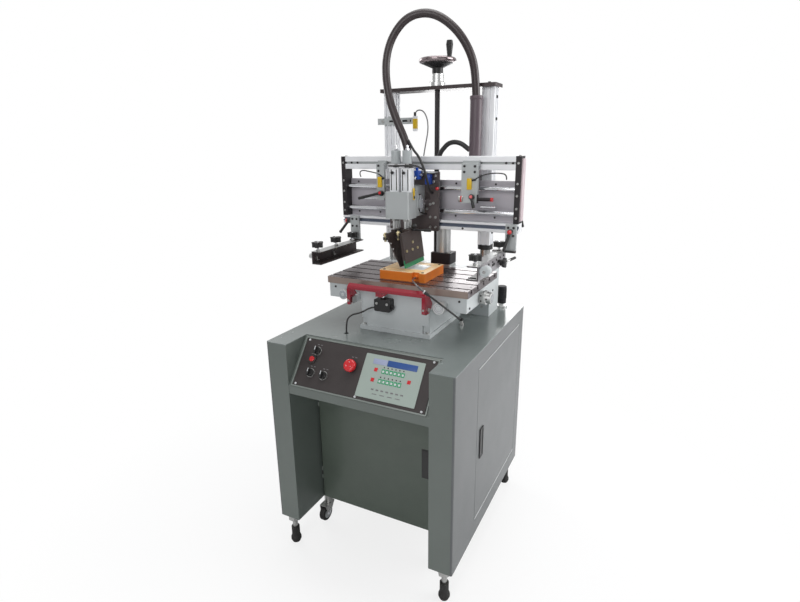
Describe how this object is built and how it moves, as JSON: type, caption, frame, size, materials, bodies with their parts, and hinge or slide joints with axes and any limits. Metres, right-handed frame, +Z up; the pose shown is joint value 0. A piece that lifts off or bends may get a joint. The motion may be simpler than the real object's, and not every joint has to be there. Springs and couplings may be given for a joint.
{
  "type": "screen printing machine",
  "caption": "Pneumatic flat-bed screen printer: print head on columns over a slotted table, on a cabinet with a sloping control panel",
  "frame": {"origin": "on the floor under the middle of the cabinet", "axes": "X to the operator's right, Y from the operator to the rear, Z up"},
  "size_m": [0.694, 0.73, 1.8032],
  "materials": {
    "cabinet_grey": "satin",
    "cabinet_top": "gloss",
    "casting_grey": "satin",
    "dark_plate": "satin",
    "door_olive": "satin",
    "crimson": "gloss",
    "anodised": "anodised",
    "aluminium": "brushed",
    "steel": "brushed",
    "chrome": "polished",
    "black_plastic": "moulded",
    "red_plastic": "moulded",
    "keypad": "printed film",
    "hose": "smooth",
    "black_rubber": "matt",
    "squeegee_green": "matt",
    "jig_orange": "machined"
  },
  "bodies": {
    "cabinet": {"top_panel": "cabinet_top", "side_panels": "cabinet_grey", "back_panel": "cabinet_grey", "base_panel": "cabinet_grey", "front_frame": "cabinet_grey", "console_housing": "cabinet_grey", "panel_plate": "dark_plate", "membrane_keypad": "keypad", "levelling_feet": "black_rubber", "castor_forks": "steel", "valve_manifold": "aluminium", "control_box": "casting_grey", "pedestal": "casting_grey", "table_base": "casting_grey", "limit_switch": "black_plastic", "rear_base": "casting_grey", "columns": "aluminium", "head_plate": "dark_plate", "screw_bearing": "steel", "lift_cylinder": "aluminium", "regulator_body": "aluminium", "base_lines": "hose"},
    "front_door": {"front_door": "door_olive"},
    "side_door": {"side_door": "cabinet_grey"},
    "side_latch": {"side_latch": "black_plastic"},
    "selector_upper": {"selector_upper": "black_plastic"},
    "selector_lower": {"selector_lower": "black_plastic"},
    "selector_side": {"selector_side": "black_plastic"},
    "start_button": {"start_button": "red_plastic"},
    "emergency_stop": {"emergency_stop": "red_plastic"},
    "press_bar": {"press_bar": "crimson"},
    "switch_plunger": {"switch_plunger": "steel"},
    "cross_slide": {"y_slide": "steel"},
    "table": {"table": "anodised", "jig": "jig_orange", "jig_tube": "hose"},
    "table_knob_left": {"table_knob_left": "aluminium"},
    "table_knob_right": {"table_knob_right": "aluminium"},
    "side_knob": {"side_knob": "aluminium"},
    "regulator_knob": {"regulator_knob": "black_plastic"},
    "wheel_front_left": {"castor_wheel_front_left": "black_rubber"},
    "wheel_front_right": {"castor_wheel_front_right": "black_rubber"},
    "wheel_rear_left": {"castor_wheel_rear_left": "black_rubber"},
    "wheel_rear_right": {"castor_wheel_rear_right": "black_rubber"},
    "beam": {"beam_slider": "dark_plate", "beam_end_plates": "black_plastic", "beam_profiles": "aluminium", "guide_rods": "chrome", "duct": "black_plastic", "carriage_stops": "steel"},
    "handwheel": {"handwheel": "chrome"},
    "handwheel_grip": {"handwheel_grip": "black_plastic"},
    "carriage": {"carriage_plate": "dark_plate", "print_cylinders": "aluminium", "main_hose": "hose"},
    "squeegee": {"squeegee_holder": "aluminium", "squeegee_rubber": "squeegee_green"},
    "flood": {"flood_bar": "steel"},
    "left_arm": {"left_arm": "dark_plate"},
    "right_arm": {"right_arm": "dark_plate"}
  },
  "joints": [
    {"name": "front_door_hinge", "type": "hinge", "parent": "cabinet", "child": "front_door", "pos_m": [-0.2435, -0.2158, 0.373], "axis": [0, 0, -1], "range_deg": [0, 88]},
    {"name": "side_door_hinge", "type": "hinge", "parent": "cabinet", "child": "side_door", "pos_m": [0.32, 0.298, 0.451], "axis": [0, 0, 1], "range_deg": [0, 100]},
    {"name": "side_latch_hinge", "type": "hinge", "parent": "side_door", "child": "side_latch", "pos_m": [0.3245, -0.121, 0.4915], "axis": [0, -1, 0], "range_deg": [0, 35], "stiffness_Nm_per_rad": 0.02, "springref_deg": -11.46},
    {"name": "selector_upper_turn", "type": "hinge", "parent": "cabinet", "child": "selector_upper", "pos_m": [-0.178, -0.28639, 0.73853], "axis": [0, -0.7915, 0.6111], "range_deg": [-45, 45]},
    {"name": "selector_lower_turn", "type": "hinge", "parent": "cabinet", "child": "selector_lower", "pos_m": [-0.178, -0.331, 0.68074], "axis": [0, -0.7915, 0.6111], "range_deg": [-45, 45]},
    {"name": "selector_side_turn", "type": "hinge", "parent": "cabinet", "child": "selector_side", "pos_m": [-0.129, -0.33161, 0.67995], "axis": [0, -0.7915, 0.6111], "range_deg": [-45, 45]},
    {"name": "start_button_press", "type": "slide", "parent": "cabinet", "child": "start_button", "axis": [0, 0.7915, -0.6111], "range_m": [0, 0.003], "stiffness_N_per_m": 400, "springref_m": -0.002},
    {"name": "emergency_stop_press", "type": "slide", "parent": "cabinet", "child": "emergency_stop", "axis": [0, 0.7915, -0.6111], "range_m": [0, 0.005]},
    {"name": "press_bar_hinge", "type": "hinge", "parent": "cabinet", "child": "press_bar", "pos_m": [0.015, -0.163, 0.888], "axis": [-1, 0, 0], "range_deg": [0, 6], "stiffness_Nm_per_rad": 6, "springref_deg": -8.59},
    {"name": "switch_plunger_press", "type": "slide", "parent": "cabinet", "child": "switch_plunger", "axis": [0, 0, -1], "range_m": [0, 0.003]},
    {"name": "table_y", "type": "slide", "parent": "cabinet", "child": "cross_slide", "axis": [0, 1, 0], "range_m": [-0.006, 0.006]},
    {"name": "table_x", "type": "slide", "parent": "cross_slide", "child": "table", "axis": [1, 0, 0], "range_m": [-0.006, 0.006], "deforming": ["jig_tube"]},
    {"name": "knob_left_turn", "type": "hinge", "parent": "cabinet", "child": "table_knob_left", "pos_m": [-0.162, -0.15, 0.8995], "axis": [0, 1, 0], "range_deg": [-1085, 1085]},
    {"name": "knob_right_turn", "type": "hinge", "parent": "cabinet", "child": "table_knob_right", "pos_m": [0.192, -0.15, 0.8995], "axis": [0, 1, 0], "range_deg": [-1085, 1085]},
    {"name": "side_knob_turn", "type": "hinge", "parent": "cross_slide", "child": "side_knob", "pos_m": [0.29, 0.008, 0.8995], "axis": [1, 0, 0], "range_deg": [-1085, 1085]},
    {"name": "regulator_turn", "type": "hinge", "parent": "cabinet", "child": "regulator_knob", "pos_m": [0.248, 0.322, 0.82], "axis": [0, 0, 1], "range_deg": [-340, 340]},
    {"name": "wheel_front_left_spin", "type": "hinge", "parent": "cabinet", "child": "wheel_front_left", "pos_m": [-0.255, -0.197, 0.034], "axis": [1, 0, 0], "continuous": true},
    {"name": "wheel_front_right_spin", "type": "hinge", "parent": "cabinet", "child": "wheel_front_right", "pos_m": [0.255, -0.197, 0.034], "axis": [1, 0, 0], "continuous": true},
    {"name": "wheel_rear_left_spin", "type": "hinge", "parent": "cabinet", "child": "wheel_rear_left", "pos_m": [-0.255, 0.24, 0.034], "axis": [1, 0, 0], "continuous": true},
    {"name": "wheel_rear_right_spin", "type": "hinge", "parent": "cabinet", "child": "wheel_rear_right", "pos_m": [0.255, 0.24, 0.034], "axis": [1, 0, 0], "continuous": true},
    {"name": "beam_lift", "type": "slide", "parent": "cabinet", "child": "beam", "axis": [0, 0, 1], "range_m": [0, 0.1]},
    {"name": "handwheel_turn", "type": "hinge", "parent": "cabinet", "child": "handwheel", "pos_m": [0.015, 0.225, 1.654], "axis": [0, 0, 1], "continuous": true},
    {"name": "grip_spin", "type": "hinge", "parent": "handwheel", "child": "handwheel_grip", "pos_m": [0.06195, 0.21502, 1.69], "axis": [0, 0, 1], "continuous": true},
    {"name": "carriage_x", "type": "slide", "parent": "beam", "child": "carriage", "axis": [1, 0, 0], "range_m": [-0.01, 0.08], "deforming": ["main_hose"]},
    {"name": "squeegee_press", "type": "slide", "parent": "carriage", "child": "squeegee", "axis": [0, 0, -1], "range_m": [0, 0.008]},
    {"name": "flood_press", "type": "slide", "parent": "carriage", "child": "flood", "axis": [0, 0, -1], "range_m": [0, 0.008]},
    {"name": "left_arm_x", "type": "slide", "parent": "beam", "child": "left_arm", "axis": [1, 0, 0], "range_m": [-0.005, 0.09]},
    {"name": "right_arm_x", "type": "slide", "parent": "beam", "child": "right_arm", "axis": [1, 0, 0], "range_m": [-0.09, 0.005]}
  ],
  "couplings": [
    {"joint": "knob_left_turn", "follows": "table_y", "rad_per_m": 3141.6},
    {"joint": "knob_right_turn", "follows": "table_y", "rad_per_m": 3141.6},
    {"joint": "side_knob_turn", "follows": "table_x", "rad_per_m": 3141.6},
    {"joint": "handwheel_turn", "follows": "beam_lift", "rad_per_m": 628.32},
    {"joint": "switch_plunger_press", "follows": "press_bar_hinge", "m_per_rad": 0.0245}
  ]
}
